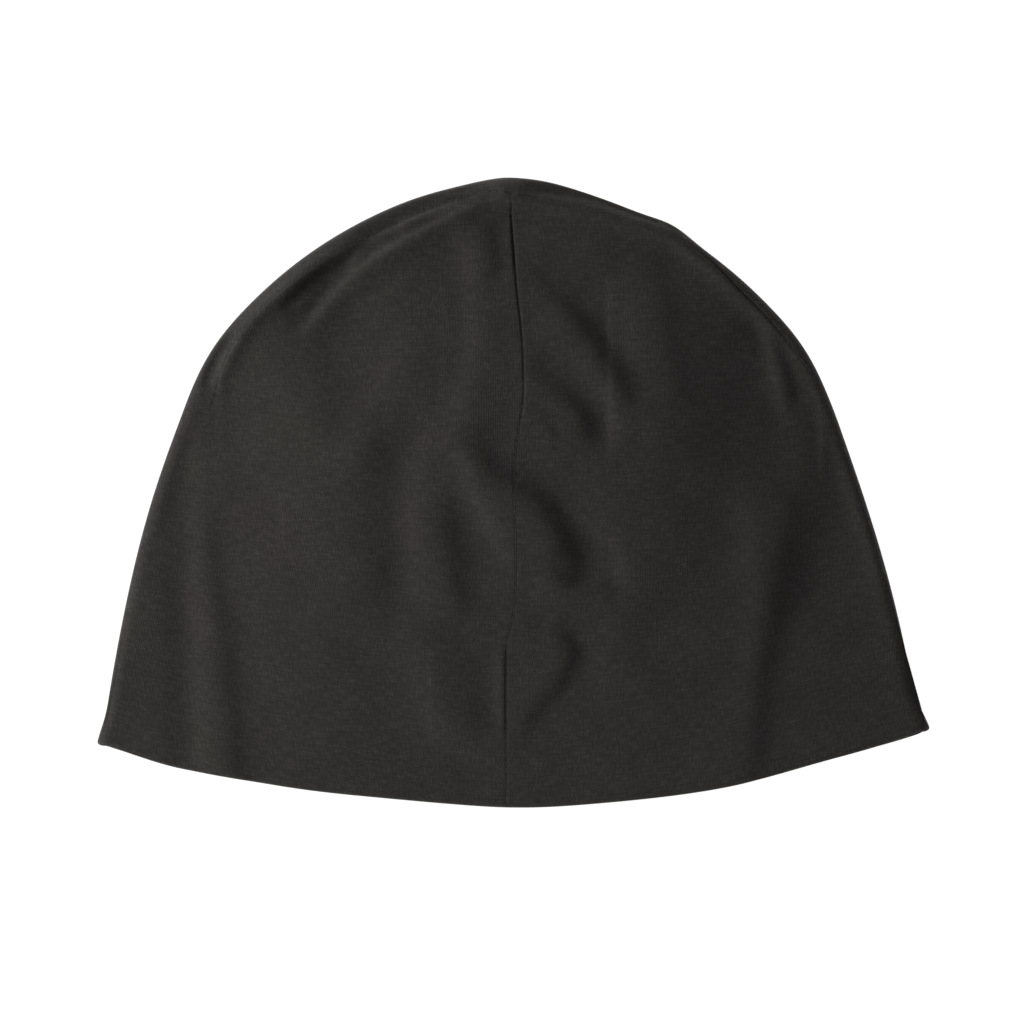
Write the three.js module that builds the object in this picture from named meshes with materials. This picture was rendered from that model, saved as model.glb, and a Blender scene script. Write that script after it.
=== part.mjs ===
// A double-layer jersey beanie lying flat on its front wall. The back wall, with the full-height
// seam, is on top. Millimetres, +Z up: the mouth faces -Y and the crown +Y. The origin is on the
// surface that the cap lies on, below the middle of its outline.
import * as THREE from 'three';

// Driving sizes of the cap as it lies.
const HEM_WIDTH = 260; // between the two corners of the mouth
const CAP_HEIGHT = 197.6; // from the lowest point of the hem to the top of the crown
const HEM_SAG = 22.5; // how far the middle of the upper hem is below its corners
const FRONT_HEM_SAG = 18.5; // the same for the wall underneath, which is a little shorter
const SHOULDER_WIDTH = 204; // across the outline where the crown meets the straight sides
const SHOULDER_DROP = 74; // from the top of the crown down to the shoulders
const CROWN_LEAN = 2; // the top of the crown is this far left of the middle
const CROWN_LOFT = 22; // highest point of the upper wall
const MOUTH_LOFT = 13; // height of the upper wall at the middle of the mouth
const PEAK_DROP = 78; // from the top of the crown down to where the upper wall is highest

// The two arcs of each side of the outline: directions below the horizontal and handle lengths.
const SHOULDER_ANGLE = 69.5;
const CORNER_ANGLE = 75;
const TOP_HANDLE = 12;
const SHOULDER_UPPER_HANDLE = 68;
const SHOULDER_LOWER_HANDLE = 56;
const CORNER_HANDLE = 20;

// Cloth and sewing.
const SHELL_THICKNESS = 0.8;
const LINING_THICKNESS = 0.8;
const GAP = 0.3; // clear distance between neighbouring pieces
const FOLD_RADIUS = 4; // outer radius of the soft fold round the sides and the crown
const DART_LENGTH = 128; // from the crown point along the outline to the end of a side dart
const DART_END = 2; // length over which a dart's slit closes
const THREAD_WIDTH = 0.8;
const THREAD_DEPTH = 0.6;
const HEM_SEAM_HEIGHT = 0.8;
const TACK_RADIUS = 0.6;

// The care label, sewn along one edge to the back seam of the lining.
const LABEL_WIDTH = 24;
const LABEL_HEIGHT = 26.5;
const LABEL_THICKNESS = 0.5;
const LABEL_ABOVE_HEM = 22; // from the hem up to the label's lower edge
const STITCH_SIZE = 0.6;

// How finely the surfaces are divided.
const WALL_COLUMNS = 7; // from the middle of the upper wall to its side
const FOLD_COLUMNS = 4;
const FLOOR_COLUMNS = 4; // from the side of the lower wall to its middle
const CROWN_LEVELS = 8;
const SIDE_LEVELS = 6;
const TACK_SIDES = 10;

// Places that follow from the sizes. Depth is measured into the cap from the shell's outer face.
const LINING_OUTER = SHELL_THICKNESS + GAP;
const LINING_INNER = LINING_OUTER + LINING_THICKNESS;
const SLIT = THREAD_WIDTH + 2 * GAP;
const TOP = CAP_HEIGHT / 2;
const FLAT_HEIGHT = 2 * FOLD_RADIUS;
const LEFT = -1;
const RIGHT = 1;

const JERSEY = new THREE.MeshStandardMaterial({ color: 0x2f2d2b, roughness: 0.95, metalness: 0 });
const LINING = new THREE.MeshStandardMaterial({ color: 0x2b2a28, roughness: 0.95, metalness: 0 });
const THREAD = new THREE.MeshStandardMaterial({ color: 0x1f1e1d, roughness: 0.8, metalness: 0 });
const LABEL = new THREE.MeshStandardMaterial({ color: 0x22211f, roughness: 0.6, metalness: 0 });

function below(degrees) {
  const angle = THREE.MathUtils.degToRad(degrees);
  return new THREE.Vector2(Math.cos(angle), -Math.sin(angle));
}

// One side of the outline in plan, from the top of the crown to the corner of the mouth.
function outline(side) {
  const top = new THREE.Vector2(-side * CROWN_LEAN, TOP);
  const shoulder = new THREE.Vector2(SHOULDER_WIDTH / 2, TOP - SHOULDER_DROP);
  const down = below(SHOULDER_ANGLE);
  const end = below(CORNER_ANGLE);
  const corner = new THREE.Vector2(HEM_WIDTH / 2, HEM_SAG - TOP + FOLD_RADIUS * end.x);
  const points = [
    top,
    top.clone().add(new THREE.Vector2(TOP_HANDLE, 0)),
    shoulder.clone().addScaledVector(down, -SHOULDER_UPPER_HANDLE),
    shoulder,
    shoulder.clone().addScaledVector(down, SHOULDER_LOWER_HANDLE),
    corner.clone().addScaledVector(end, -CORNER_HANDLE),
    corner,
  ].map((p) => new THREE.Vector2(side * p.x, p.y));
  const path = new THREE.CurvePath();
  path.add(new THREE.CubicBezierCurve(...points.slice(0, 4)));
  path.add(new THREE.CubicBezierCurve(...points.slice(3)));
  return path;
}

const OUTLINES = new Map([LEFT, RIGHT].map((side) => [side, outline(side)]));
const OUTLINE_LENGTH = OUTLINES.get(RIGHT).getLength();

// The edge of the cap at a level from 0, the crown point, to 1, the hem, with the way inwards
// and the seat, where the rounded fold meets the flat of the walls.
function rim(side, level) {
  const path = OUTLINES.get(side);
  const edge = path.getPoint(level);
  const along = path.getTangent(level);
  const inward = new THREE.Vector2(along.y, -along.x).multiplyScalar(side);
  if (level === 0) inward.set(0, -1);
  const seat = edge.clone().addScaledVector(inward, FOLD_RADIUS);
  return { edge, inward, seat };
}

// A point of either wall. Across runs from -1 at the left seat to 1 at the right one.
function planPoint(across, level, sag) {
  const left = rim(LEFT, level).seat;
  const right = rim(RIGHT, level).seat;
  const plan = left.lerp(right, (1 + across) / 2);
  plan.y -= sag * level * Math.sqrt(level) * (1 - across * across);
  return plan;
}

// Height of the upper wall along its middle.
function ridge(level) {
  const drop = TOP - planPoint(0, level, HEM_SAG).y;
  const rise = THREE.MathUtils.smoothstep(drop, FOLD_RADIUS, PEAK_DROP);
  const fall = THREE.MathUtils.smoothstep(drop, PEAK_DROP, CAP_HEIGHT);
  return FLAT_HEIGHT + (CROWN_LOFT - FLAT_HEIGHT) * rise - (CROWN_LOFT - MOUTH_LOFT) * fall;
}

function upperPoint(across, level, depth) {
  const plan = planPoint(across, level, HEM_SAG);
  const swell = Math.cos((Math.PI / 2) * across) ** 2;
  const height = FLAT_HEIGHT + (ridge(level) - FLAT_HEIGHT) * swell;
  return new THREE.Vector3(plan.x, plan.y, height - depth);
}

function lowerPoint(across, level, depth) {
  const plan = planPoint(across, level, FRONT_HEM_SAG);
  return new THREE.Vector3(plan.x, plan.y, depth);
}

// A point of the rounded edge. The angle runs from 90 degrees on top to -90 underneath.
function foldPoint(side, level, degrees, depth) {
  const { edge, inward } = rim(side, level);
  const angle = THREE.MathUtils.degToRad(degrees);
  const radius = FOLD_RADIUS - depth;
  const plan = edge.clone().addScaledVector(inward, FOLD_RADIUS - radius * Math.cos(angle));
  return new THREE.Vector3(plan.x, plan.y, FOLD_RADIUS + radius * Math.sin(angle));
}

function foldAngle(column) {
  return 90 - (180 * column) / FOLD_COLUMNS;
}

// Levels of the cloth. The darts reach down to level number CROWN_LEVELS, and the cloth stops
// just above the seam that joins the layers at the mouth.
const DART_LEVEL = DART_LENGTH / OUTLINE_LENGTH;
const HEM_SEAM_TOP = 1 - HEM_SEAM_HEIGHT / OUTLINE_LENGTH;
const CLOTH_END = HEM_SEAM_TOP - GAP / OUTLINE_LENGTH;

function clothLevels() {
  const levels = [];
  for (let i = 0; i <= CROWN_LEVELS; i += 1) levels.push((DART_LEVEL * i) / CROWN_LEVELS);
  const start = DART_LEVEL + DART_END / OUTLINE_LENGTH;
  for (let i = 0; i <= SIDE_LEVELS; i += 1) levels.push(start + ((CLOTH_END - start) * i) / SIDE_LEVELS);
  return levels;
}

const LEVELS = clothLevels();

function shifted(point, x, y) {
  return new THREE.Vector3(point.x + x, point.y + y, point.z);
}

// The three stretches of each half of a layer, as point functions of column, level number and
// depth. Where a seam or dart runs, the cloth keeps half a slit away from it.
function upperWall(side) {
  return (column, row, depth) => {
    const level = LEVELS[row];
    const point = upperPoint((side * column) / WALL_COLUMNS, level, depth);
    if (row === 0) return shifted(point, (side * SLIT) / 2, -SLIT / 2);
    if (column === 0) return shifted(point, (side * SLIT) / 2, 0);
    if (row > CROWN_LEVELS) return point;
    const { inward } = rim(side, level);
    const opened = ((SLIT / 2) * column) / WALL_COLUMNS;
    return shifted(point, inward.x * opened, inward.y * opened);
  };
}

function sideFold(side) {
  return (column, row, depth) => {
    const level = LEVELS[row];
    const { inward } = rim(side, level);
    const opened = column === 0 && row <= CROWN_LEVELS ? SLIT / 2 : 0;
    const aside = row === 0 ? (side * SLIT) / 2 : 0;
    const point = foldPoint(side, level, foldAngle(column), depth);
    return shifted(point, aside - inward.x * opened, -inward.y * opened);
  };
}

function lowerWall(side) {
  return (column, row, depth) => {
    const point = lowerPoint(side * (1 - column / FLOOR_COLUMNS), LEVELS[row], depth);
    const opened = row === 0 || (column === FLOOR_COLUMNS && row <= CROWN_LEVELS);
    return opened ? shifted(point, (side * SLIT) / 2, 0) : point;
  };
}

function closedGeometry(points, triangles) {
  const geometry = new THREE.BufferGeometry();
  const flat = points.flatMap((p) => [p.x, p.y, p.z]);
  geometry.setAttribute('position', new THREE.Float32BufferAttribute(flat, 3));
  geometry.setIndex(triangles.flat());
  geometry.computeVertexNormals();
  return geometry;
}

// Gathers the quads of a sheet's outer face, joining points that meet, then closes it with the
// inner face and a narrow wall along every free edge.
class Sheet {
  constructor(outerDepth, innerDepth) {
    this.depths = [outerDepth, innerDepth];
    this.outer = [];
    this.inner = [];
    this.numbers = new Map();
    this.faces = [];
  }

  vertex(pointAt, column, row) {
    const outer = pointAt(column, row, this.depths[0]);
    const key = outer.toArray().map((value) => Math.round(value * 1000)).join(' ');
    if (!this.numbers.has(key)) {
      this.numbers.set(key, this.outer.length);
      this.outer.push(outer);
      this.inner.push(pointAt(column, row, this.depths[1]));
    }
    return this.numbers.get(key);
  }

  face(a, b, c) {
    if (a !== b && b !== c && c !== a) this.faces.push([a, b, c]);
  }

  patch(pointAt, columns, side) {
    for (let column = 0; column < columns; column += 1) {
      for (let row = 0; row < LEVELS.length - 1; row += 1) {
        const a = this.vertex(pointAt, column, row);
        const b = this.vertex(pointAt, column, row + 1);
        const c = this.vertex(pointAt, column + 1, row + 1);
        const d = this.vertex(pointAt, column + 1, row);
        if (side === RIGHT) {
          this.face(a, b, c);
          this.face(a, c, d);
        } else {
          this.face(a, c, b);
          this.face(a, d, c);
        }
      }
    }
  }

  freeEdges() {
    const edges = new Map();
    for (const [a, b, c] of this.faces) {
      for (const [from, to] of [[a, b], [b, c], [c, a]]) {
        const back = `${to} ${from}`;
        if (edges.has(back)) edges.delete(back);
        else edges.set(`${from} ${to}`, [from, to]);
      }
    }
    return edges.values();
  }

  geometry() {
    const count = this.outer.length;
    const triangles = [...this.faces];
    for (const [a, b, c] of this.faces) triangles.push([a + count, c + count, b + count]);
    for (const [a, b] of this.freeEdges()) {
      triangles.push([b, a, a + count]);
      triangles.push([b, a + count, b + count]);
    }
    return closedGeometry([...this.outer, ...this.inner], triangles);
  }
}

function layerGeometry(outerDepth, innerDepth) {
  const sheet = new Sheet(outerDepth, innerDepth);
  for (const side of [LEFT, RIGHT]) {
    sheet.patch(upperWall(side), WALL_COLUMNS, side);
    sheet.patch(sideFold(side), FOLD_COLUMNS, side);
    sheet.patch(lowerWall(side), FLOOR_COLUMNS, side);
  }
  return sheet.geometry();
}

// A strip of four corner lines through a row of sections, each listed clockwise as seen from the
// next one. A closed strip has no end caps.
function stripGeometry(sections, closed) {
  const points = sections.flat();
  const triangles = [];
  const spans = closed ? sections.length : sections.length - 1;
  for (let i = 0; i < spans; i += 1) {
    const next = (i + 1) % sections.length;
    for (let corner = 0; corner < 4; corner += 1) {
      const beside = (corner + 1) % 4;
      const [a, b] = [4 * i + corner, 4 * i + beside];
      const [c, d] = [4 * next + beside, 4 * next + corner];
      triangles.push([a, c, b], [a, d, c]);
    }
  }
  if (!closed) {
    const last = 4 * (sections.length - 1);
    triangles.push([0, 1, 2], [0, 2, 3]);
    triangles.push([last, last + 2, last + 1], [last, last + 3, last + 2]);
  }
  return closedGeometry(points, triangles);
}

// A line of stitching: steps of centre, direction across the seam and direction into the cap.
// It starts clear of the tack at the crown point.
function threadGeometry(steps) {
  const start = (TACK_RADIUS + GAP) / steps[0].centre.distanceTo(steps[1].centre);
  steps[0].centre.lerp(steps[1].centre, start);
  const sections = steps.map(({ centre, across, inside }) => {
    const wide = across.clone().multiplyScalar(THREAD_WIDTH / 2);
    const deep = inside.clone().multiplyScalar(THREAD_DEPTH / 2);
    return [
      centre.clone().sub(wide).sub(deep),
      centre.clone().add(wide).sub(deep),
      centre.clone().add(wide).add(deep),
      centre.clone().sub(wide).add(deep),
    ];
  });
  return stripGeometry(sections, false);
}

const ACROSS_X = new THREE.Vector3(1, 0, 0);
const DOWN = new THREE.Vector3(0, 0, -1);
const UP = new THREE.Vector3(0, 0, 1);

function backSeam(depth) {
  const steps = LEVELS.map((level) => (
    { centre: upperPoint(0, level, depth), across: ACROSS_X, inside: DOWN }
  ));
  return threadGeometry(steps);
}

function sideDartSeam(side, depth) {
  const steps = LEVELS.slice(0, CROWN_LEVELS + 1).map((level) => {
    const { inward } = rim(side, level);
    const across = new THREE.Vector3(-side * inward.x, -side * inward.y, 0);
    return { centre: upperPoint(side, level, depth), across, inside: DOWN };
  });
  return threadGeometry(steps);
}

// The front dart starts at the crown point, goes over the top edge and on along the lower wall.
function frontDartSeam(depth) {
  const steps = [];
  const across = ACROSS_X.clone().negate();
  for (let column = 0; column < FOLD_COLUMNS; column += 1) {
    const degrees = foldAngle(column);
    const angle = THREE.MathUtils.degToRad(degrees);
    const inside = new THREE.Vector3(0, -Math.cos(angle), -Math.sin(angle));
    steps.push({ centre: foldPoint(RIGHT, 0, degrees, depth), across, inside });
  }
  for (const level of LEVELS.slice(0, CROWN_LEVELS + 1)) {
    steps.push({ centre: lowerPoint(0, level, depth), across, inside: UP });
  }
  return threadGeometry(steps);
}

// The seam that joins the layers runs right round the mouth, inside the turned edge.
function hemSeamGeometry() {
  const outerDepth = GAP;
  const innerDepth = LINING_INNER - GAP;
  const corners = [
    [HEM_SEAM_TOP, innerDepth],
    [1, innerDepth],
    [1, outerDepth],
    [HEM_SEAM_TOP, outerDepth],
  ];
  const section = (pointAt) => corners.map(([level, depth]) => pointAt(level, depth));
  const sections = [];
  for (let i = -WALL_COLUMNS; i < WALL_COLUMNS; i += 1) {
    sections.push(section((level, depth) => upperPoint(i / WALL_COLUMNS, level, depth)));
  }
  for (let i = 0; i < FOLD_COLUMNS; i += 1) {
    sections.push(section((level, depth) => foldPoint(RIGHT, level, foldAngle(i), depth)));
  }
  for (let i = FLOOR_COLUMNS; i > -FLOOR_COLUMNS; i -= 1) {
    sections.push(section((level, depth) => lowerPoint(i / FLOOR_COLUMNS, level, depth)));
  }
  for (let i = FOLD_COLUMNS; i > 0; i -= 1) {
    sections.push(section((level, depth) => foldPoint(LEFT, level, foldAngle(i), depth)));
  }
  return stripGeometry(sections, true);
}

function mesh(name, geometry, material) {
  const piece = new THREE.Mesh(geometry, material);
  piece.name = name;
  return piece;
}

// A few stitches through both layers at the crown point.
function crownTack() {
  const height = LINING_INNER - GAP;
  const geometry = new THREE.CylinderGeometry(TACK_RADIUS, TACK_RADIUS, height, TACK_SIDES);
  const tack = mesh('crown_tack', geometry, THREAD);
  tack.rotation.x = Math.PI / 2;
  tack.position.copy(upperPoint(0, 0, LINING_INNER / 2));
  return tack;
}

// The level at which the middle of the upper wall is at a given y.
function levelAt(y) {
  let [low, high] = [0, 1];
  while (high - low > 1e-6) {
    const middle = (low + high) / 2;
    if (upperPoint(0, middle, 0).y > y) low = middle;
    else high = middle;
  }
  return low;
}

// The label hangs from a row of stitches under the lining's back seam. Its frame has X towards
// its free edge, Y along the stitches and the origin in the middle of them, and it turns about Y.
function careLabel() {
  const lowerEnd = upperPoint(0, 1, 0).y + LABEL_ABOVE_HEM;
  const stitchDepth = LINING_INNER + GAP + STITCH_SIZE / 2;
  const upper = upperPoint(0, levelAt(lowerEnd + LABEL_HEIGHT), stitchDepth);
  const lower = upperPoint(0, levelAt(lowerEnd), stitchDepth);
  const along = lower.clone().sub(upper).normalize();

  const reach = STITCH_SIZE / 2 + GAP + LABEL_WIDTH;
  const across = reach / rim(RIGHT, 1).seat.x;
  const drop = upper.z - upperPoint(across, levelAt(lowerEnd + LABEL_HEIGHT), stitchDepth).z;
  const tilt = Math.atan((drop + GAP) / reach);
  const outward = new THREE.Vector3(-Math.cos(tilt), 0, -Math.sin(tilt));
  outward.addScaledVector(along, -outward.dot(along)).normalize();
  const normal = new THREE.Vector3().crossVectors(outward, along);

  const group = new THREE.Group();
  group.position.copy(upper).lerp(lower, 0.5);
  group.quaternion.setFromRotationMatrix(new THREE.Matrix4().makeBasis(outward, along, normal));
  const tape = new THREE.BoxGeometry(LABEL_WIDTH, LABEL_HEIGHT, LABEL_THICKNESS);
  const label = mesh('care_label', tape, LABEL);
  label.position.x = STITCH_SIZE / 2 + GAP + LABEL_WIDTH / 2;
  const row = new THREE.BoxGeometry(STITCH_SIZE, LABEL_HEIGHT, STITCH_SIZE);
  const stitching = mesh('label_stitching', row, THREAD);
  group.add(label, stitching);
  return group;
}

function stitchedLayer(name, outerDepth, innerDepth, material) {
  const group = new THREE.Group();
  const middle = (outerDepth + innerDepth) / 2;
  group.add(
    mesh(name, layerGeometry(outerDepth, innerDepth), material),
    mesh(`${name}_back_seam`, backSeam(middle), THREAD),
    mesh(`${name}_left_dart_seam`, sideDartSeam(LEFT, middle), THREAD),
    mesh(`${name}_right_dart_seam`, sideDartSeam(RIGHT, middle), THREAD),
    mesh(`${name}_front_dart_seam`, frontDartSeam(middle), THREAD),
  );
  return group;
}

const cap = new THREE.Group();
cap.add(
  stitchedLayer('shell', 0, SHELL_THICKNESS, JERSEY),
  stitchedLayer('lining', LINING_OUTER, LINING_INNER, LINING),
  mesh('hem_seam', hemSeamGeometry(), THREAD),
  crownTack(),
  careLabel(),
);

export default cap;
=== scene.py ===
"""A double-layer jersey beanie lying flat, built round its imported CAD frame.

Lengths are in millimetres up to the moment a mesh is made. +Z is up, the mouth faces -Y and the
crown +Y. West is -X and east +X. The near wall is the upper one, and the far wall lies below it.
"""
import math

import bpy
import numpy as np
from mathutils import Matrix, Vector
from mathutils.geometry import delaunay_2d_cdt


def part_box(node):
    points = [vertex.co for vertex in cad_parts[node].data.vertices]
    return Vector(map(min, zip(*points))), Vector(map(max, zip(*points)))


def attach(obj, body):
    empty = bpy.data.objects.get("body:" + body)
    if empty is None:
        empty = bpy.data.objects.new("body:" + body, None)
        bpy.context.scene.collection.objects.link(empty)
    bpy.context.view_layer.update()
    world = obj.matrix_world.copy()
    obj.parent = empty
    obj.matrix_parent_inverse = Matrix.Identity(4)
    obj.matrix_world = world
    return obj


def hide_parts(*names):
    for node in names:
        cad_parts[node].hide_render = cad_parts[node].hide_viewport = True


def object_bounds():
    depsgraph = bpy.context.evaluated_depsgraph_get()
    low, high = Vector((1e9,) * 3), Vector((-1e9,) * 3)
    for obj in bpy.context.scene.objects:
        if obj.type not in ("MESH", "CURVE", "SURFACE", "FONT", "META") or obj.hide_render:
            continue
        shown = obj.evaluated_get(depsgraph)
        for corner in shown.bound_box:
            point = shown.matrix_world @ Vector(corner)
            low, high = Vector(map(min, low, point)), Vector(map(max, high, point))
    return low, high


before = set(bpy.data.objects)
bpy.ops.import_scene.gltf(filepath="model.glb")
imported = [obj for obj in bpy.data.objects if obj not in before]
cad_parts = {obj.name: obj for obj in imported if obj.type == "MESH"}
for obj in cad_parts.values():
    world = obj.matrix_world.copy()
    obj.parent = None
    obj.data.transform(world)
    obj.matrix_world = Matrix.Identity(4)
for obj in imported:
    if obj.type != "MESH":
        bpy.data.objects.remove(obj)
cad_low, cad_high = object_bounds()

MM = 0.001
TOP = cad_high.y / MM
LEFT = -1
RIGHT = 1

# Cloth and sewing.
SHELL_THICKNESS = 0.8
LINING_DEPTH = 1.2  # from the shell's outer face to the lining's
LINING_THICKNESS = 0.8
LINING_SOFTNESS = 3.0  # how much wider the seams' grooves are on the lining
FOLD_RADIUS = 4.0  # of the rounded edge at each side
FLAT_HEIGHT = 2 * FOLD_RADIUS
CROWN_LOFT = cad_high.z / MM - 0.5  # the cap's greatest height, and its height at the mouth
MOUTH_LOFT = 13.0
PEAK_DROP = 78.0  # how far below the top of the crown the greatest height lies
HEM_RADIUS = 1.05  # of the roll of the hem, and how far the shell runs back inside it
HEM_TURN = 1.6
LINING_START = 2.3  # where the lining begins, back from the roll

# Thread and the care label.
STITCH_PITCH = 2.4
STITCH_LENGTH = 2.1
STITCH_RADIUS = 0.16
HEM_STITCH = (2.6, 2.0, 0.2)  # pitch, length and radius
LABEL_STITCH = (2.2, 1.7, 0.22)
LABEL_INSET = 0.15  # how much smaller the label's outline is than its CAD solid's
LABEL_HALF = 0.13  # half the tape's thickness
LABEL_TURNED = 0.09  # how much thicker each half is where an end is turned
LABEL_ROOM = 0.6  # how far the label's middle stays below the lining
LABEL_BLEND = 0.3  # how gradually the label gives way to the lining above it

# How finely the surfaces are divided.
NEAR_STEP = 1.35
LINING_STEP = 2.4
FAR_STEP = 4.0
FAR_SWELL = 0.12  # of the far wall, off the floor
SEAT_INSET = 1.0  # where the rounded fold takes over from the near wall, in from the edge
EDGE_STEP = 1.3
FOLD_COLUMNS = 10
HEM_ROWS = 6

# The outline in plan, from the top of the crown to the corner of the mouth on each side.
APEX = (-2.5, TOP)
SIDES = {
    LEFT: dict(top=17, shoulder=(-102.3, 27.5), angle=68.5, above=57, below=55,
               corner=(-129.3, -79.3), corner_angle=78.5, end=12),
    RIGHT: dict(top=6, shoulder=(103, 19.5), angle=70.5, above=76, below=60,
                corner=(129.7, -74.7), corner_angle=68.5, end=20),
}
FLARE = 1.3  # how far each corner of the mouth turns outwards, and over what length
FLARE_LENGTH = 14
# Small swellings and dips of the outline: place, reach along it, and how far it moves outwards.
BULGES = [
    ((50, 83), 6, 1.4), ((95, 47), 12, 1.1), ((123, -40), 34, 0.6), ((-94, 45), 12, 0.8),
    ((-113, -5), 22, 0.5), ((-16, 97), 9, -0.5), ((10, 97), 8, 0.5),
]
# The hems: how far the middle hangs below the corners, and how square the curve is on each side.
NEAR_HEM = dict(sag=20.2, left=1.87, right=2.28)
FAR_HEM = dict(sag=19.2, left=1.87, right=2.28)
# Slow waves in both hems: place, reach along the hem, and rise.
HEM_WAVES = [(-107, 12, -1.0), (-38, 18, 0.7), (6, 14, -0.6), (96, 14, 1.2)]

# The back seam, and its groove's depth, at places from the crown point down to the hem.
BACK_SEAM = [(-0.5, 93), (0, 80), (1.4, 63), (3, 48), (3.5, 30), (2, 19), (0.5, 7), (1, -15), (0.8, -34),
             (-1.4, -46), (-2, -52), (-2, -76), (-2, -99)]
BACK_SEAM_DEPTH = [(-99, 0.15), (-76, 0.16), (-71, 0.24), (-52, 0.24), (-46, 0.13), (15, 0.13), (22, 0.28),
                   (50, 0.38), (66, 0.5), (76, 1.0), (84, 0.5), (90, 0.25), (93, 0.1)]
# The side darts of the crown, from the crown point to their ends just inside the outline.
DARTS = {
    LEFT: [(-0.5, 93.6), (-10, 94), (-23, 90), (-36, 84.5), (-54, 76), (-66, 68.5), (-81, 55.5),
           (-89.5, 43), (-95, 27)],
    RIGHT: [(-0.5, 93.6), (12, 91.6), (27, 88), (43, 83.7), (52, 80), (62, 72.3), (70.5, 64), (81, 53.5),
            (92, 40)],
}
# The raised line beside each dart: its height near the crown point and at the end, and the widths
# of its outer and inner flanks. The sewn groove likewise has a depth at each end.
DART_RIDGE = {LEFT: (1.7, 2.5, 1.7, 1.6), RIGHT: (1.8, 1.1, 1.5, 1.9)}
DART_GROOVE = {LEFT: (0.15, 0.2), RIGHT: (0.12, 0.7)}

GROOVE_WIDTH = 0.19  # of the back seam
DART_GROOVE_WIDTH = 0.3
DART_CREST = 1.2  # how far inside its dart a ridge's crest runs

# The creases and wrinkles of the near wall. Each is a line, mostly running down the cloth, across
# which the cloth rises eastwards (a height above zero) or falls (below zero), with the width of
# that slope and the distance over which the cloth recovers beside it. A distance of zero makes
# a plain ridge or valley instead.
WRINKLES = [
    # left pressed fold, its hollow and the wing beside it
    (1.4, 2.8, 7, [(-99, 32), (-99.5, -10), (-98.5, -45), (-97.5, -112)]),
    (-1.7, 3.0, 8, [(-96, -2), (-92, -32), (-88, -58), (-84, -112)]),
    (-1.1, 3.4, 7, [(-108, 0), (-106, -45), (-104, -112)]),
    # right pressed fold: a shoulder that drops to the wing
    (1.0, 3.4, 8, [(70, 12), (74, -30), (74, -112)]),
    (-2.9, 6.5, 12, [(95, 52), (98, 20), (96, -6), (92, -24), (86, -42)]),
    (-2.6, 3.6, 8, [(90, 4), (86, -22), (82, -44), (78, -62), (74, -112)]),
    # upper right
    (-1.2, 2.2, 7, [(4, 74), (13, 62), (24, 50), (33, 38)]),
    (-2.8, 2.6, 7, [(15, 61), (25, 49), (34, 36), (38, 26)]),
    (-0.9, 3.0, 7, [(45, 76), (49, 57), (54, 28)]),
    (-3.2, 12.0, 18, [(60, 74), (66, 42), (64, 4)]),
    (1.0, 1.5, 4, [(76, 58), (80, 46), (83, 32), (86, 18)]),
    (-1.6, 1.6, 4, [(82, 50), (86, 37), (88, 26)]),
    (-2.5, 2.6, 5, [(5, 38), (15, 32), (22, 25), (25, 14)]),
    (-0.8, 1.5, 4, [(4, 28), (11, 22), (15, 14)]),
    (0.8, 2.2, 5, [(20, 42), (30, 28), (33, 12)]),
    # left of the back seam
    (1.6, 3.0, 8, [(-19, 90), (-14, 66), (-13, 46), (-18, 24), (-24, 6)]),
    (1.5, 3.2, 7, [(-24, 26), (-30, 8), (-32, -12), (-30, -38)]),
    (1.3, 2.2, 5, [(-17, 14), (-13, -1), (-6, -13), (0, -25)]),
    (-1.7, 2.4, 5, [(-8, 85), (-6, 77), (-5, 66)]),
    (-2.2, 3.4, 6, [(-21, 0), (-17, -22), (-14, -41)]),
    (-3.9, 8.0, 14, [(-62, 74), (-61, 42), (-52, 14)]),
    (1.2, 3.4, 8, [(-32, 52), (-44, 30), (-55, 6)]),
    (-1.8, 6.0, 12, [(-43, 30), (-42, -10), (-39, -42)]),
    # the curled folds in the middle
    (-4.0, 3.2, 8, [(-15, 16), (-2, 5), (9, -2), (15, -11), (19, -22), (20, -32)]),
    (-1.8, 2.0, 5, [(10, -24), (20, -29), (30, -26)]),
    (1.2, 2.2, 5, [(24, -10), (32, -19), (35, -31)]),
    (-2.6, 2.4, 6, [(12, -40), (19, -50), (15, -60), (8, -68), (1, -76)]),
    (-1.0, 6.0, 9, [(57, 4), (52, -22), (40, -44)]),
    (-0.8, 4.0, 8, [(33, -38), (43, -53), (50, -66)]),
    # round the label
    (0.5, 1.4, 0, [(-48, -46), (-16, -48), (14, -46)]),
    (1.3, 4.0, 8, [(-37, -38), (-31, -60), (-20, -78), (2, -87)]),
    (-1.0, 5.0, 8, [(-20, -46), (-15, -62), (-10, -78)]),
    (0.5, 0.9, 3, [(-5, -48), (-5, -75)]),
]
# The faint unevenness of the whole near wall: height, wavelength and seed.
RIPPLES = [(0.12, 34, 5), (0.05, 11, 6), (0.025, 4, 7)]
# Pleats and hollows of the crown panels beside the darts, written as the wrinkles are.
CROWN_PLEATS = [
    (-4.6, 1.1, 4, [(-68, 49), (-62, 55.5), (-51, 68), (-35, 79), (-16, 88.5), (-3, 93)]),
    (-3.4, 0.9, 3, [(-53, 69), (-46.5, 77), (-38, 82.5), (-22, 89), (-8, 93)]),
    (-1.0, 1.6, 0, [(-72, 57), (-62, 67), (-52, 74)]),
    (-1.3, 1.4, 0, [(-48, 74), (-42, 79.5), (-34, 84)]),
    (-2.0, 1.5, 0, [(-97, 32), (-93, 41), (-87, 50)]),
    (-2.4, 1.4, 0, [(2, 96), (24, 92.6), (44, 86.5), (54, 82)]),
    (1.0, 2.0, 0, [(-24, 92), (-10, 95), (8, 93)]),
    (1.0, 2.6, 6, [(-5, 100), (-6, 94), (-9, 86)]),
]
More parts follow.
